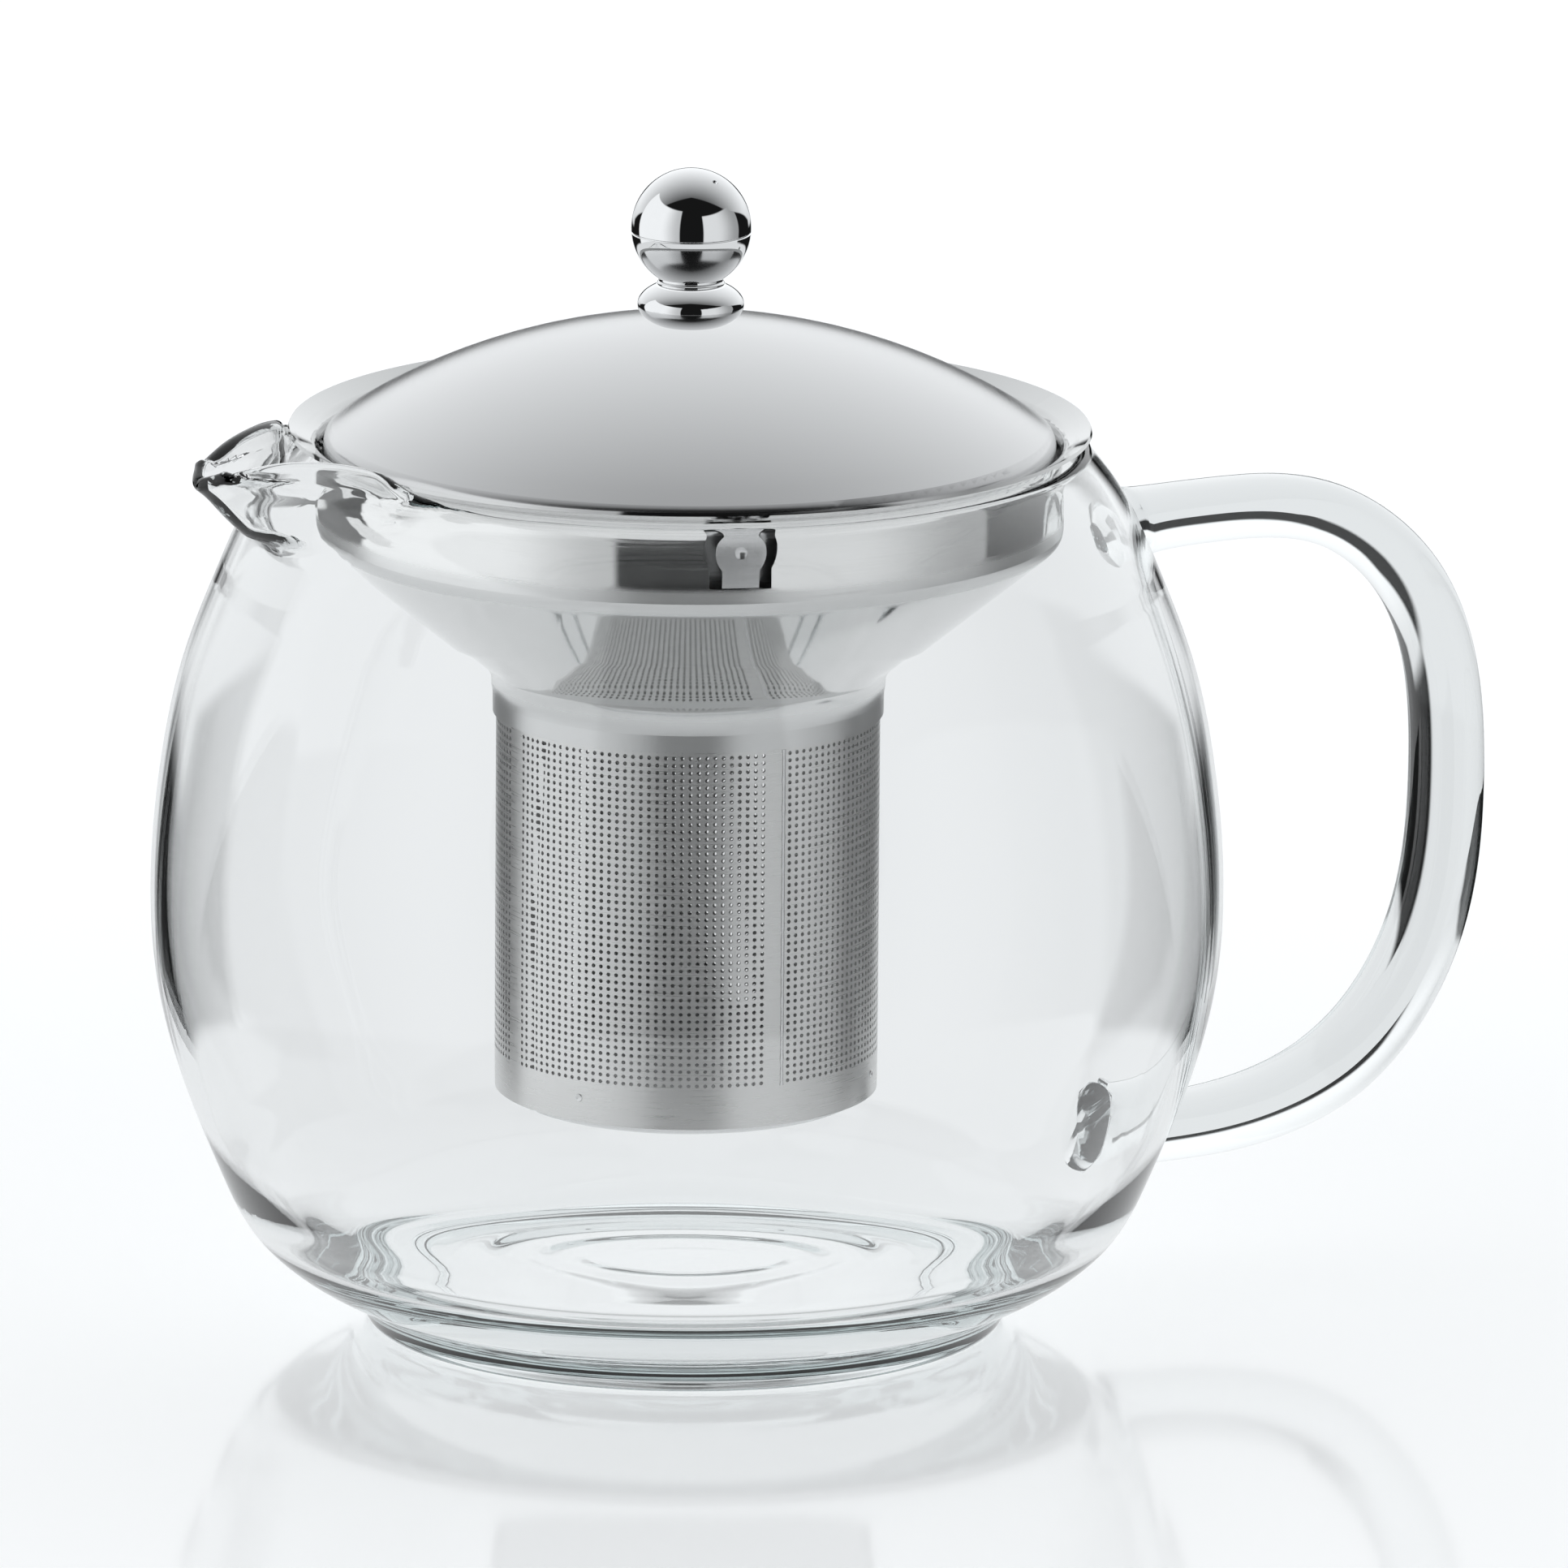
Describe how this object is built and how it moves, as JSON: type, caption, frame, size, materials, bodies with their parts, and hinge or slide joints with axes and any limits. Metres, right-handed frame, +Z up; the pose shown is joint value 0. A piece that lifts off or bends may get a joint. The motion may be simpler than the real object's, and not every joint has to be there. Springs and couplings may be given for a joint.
{
  "type": "teapot with infuser",
  "caption": "Clear glass teapot with a pinched spout and rod handle, a drop-in steel infuser with a perforated sleeve, and a domed steel lid with a ball knob.",
  "frame": {"origin": "on the pot's axis, in the plane of the foot ring it stands on", "axes": "+Z up along the pot's axis, +X towards the handle, -X towards the spout"},
  "size_m": [0.1973, 0.1502, 0.1644],
  "materials": {
    "clear_glass": "clear, fire-polished",
    "polished_steel": "bright turned stainless steel",
    "satin_steel": "satin stainless steel",
    "mirror_steel": "mirror polished"
  },
  "bodies": {
    "pot": {"glass_body": "clear_glass", "glass_handle": "clear_glass"},
    "infuser": {"infuser_funnel": "polished_steel", "perforated_sleeve": "satin_steel", "sleeve_base": "satin_steel"},
    "lid": {"lid_dome": "satin_steel", "lid_locating_ring": "satin_steel", "knob_foot": "mirror_steel", "knob_neck": "mirror_steel", "knob_lower_shell": "mirror_steel", "knob_upper_shell": "mirror_steel", "knob_insert": "satin_steel", "lid_washer": "satin_steel", "lid_screw": "satin_steel"},
    "tab_1": {"spring_tab_1": "polished_steel"},
    "tab_2": {"spring_tab_2": "polished_steel"},
    "tab_3": {"spring_tab_3": "polished_steel"}
  },
  "joints": [
    {"name": "infuser_lift", "type": "slide", "parent": "pot", "child": "infuser", "axis": [0, 0, 1], "range_m": [0, 0.11]},
    {"name": "lid_lift", "type": "slide", "parent": "infuser", "child": "lid", "axis": [0, 0, 1], "range_m": [0, 0.05]},
    {"name": "tab_1_flex", "type": "hinge", "parent": "infuser", "child": "tab_1", "pos_m": [-0.01426, -0.04974, 0.1159], "axis": [-0.9613, 0.2756, 0], "range_deg": [0, 6], "stiffness_Nm_per_rad": 1},
    {"name": "tab_2_flex", "type": "hinge", "parent": "infuser", "child": "tab_2", "pos_m": [0.05021, 0.01252, 0.1159], "axis": [0.2419, -0.9703, 0], "range_deg": [0, 6], "stiffness_Nm_per_rad": 1},
    {"name": "tab_3_flex", "type": "hinge", "parent": "infuser", "child": "tab_3", "pos_m": [-0.03595, 0.03723, 0.1159], "axis": [0.7193, 0.6947, 0], "range_deg": [0, 6], "stiffness_Nm_per_rad": 1}
  ]
}
